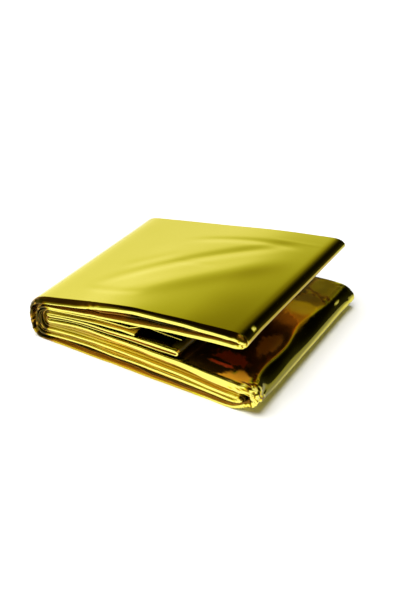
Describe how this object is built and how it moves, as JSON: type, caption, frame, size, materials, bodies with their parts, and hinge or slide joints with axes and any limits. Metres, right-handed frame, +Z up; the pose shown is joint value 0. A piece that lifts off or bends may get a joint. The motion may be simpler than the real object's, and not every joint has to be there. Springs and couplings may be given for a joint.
{
  "type": "folded emergency foil blanket",
  "caption": "Thin gold metallised film blanket, pleated and folded flat into a small bundle whose top flap springs up at its open end.",
  "frame": {"origin": "on the surface the bundle rests on, under the middle of its box", "axes": "+X from the folded spine to the open end, +Y from the front edge to the back edge, +Z up"},
  "size_m": [0.1195, 0.097, 0.0365],
  "materials": {
    "gold_film": "gold metallised film, high gloss, softly creased"
  },
  "bodies": {
    "root": {"foil_blanket": "gold_film"}
  },
  "joints": []
}
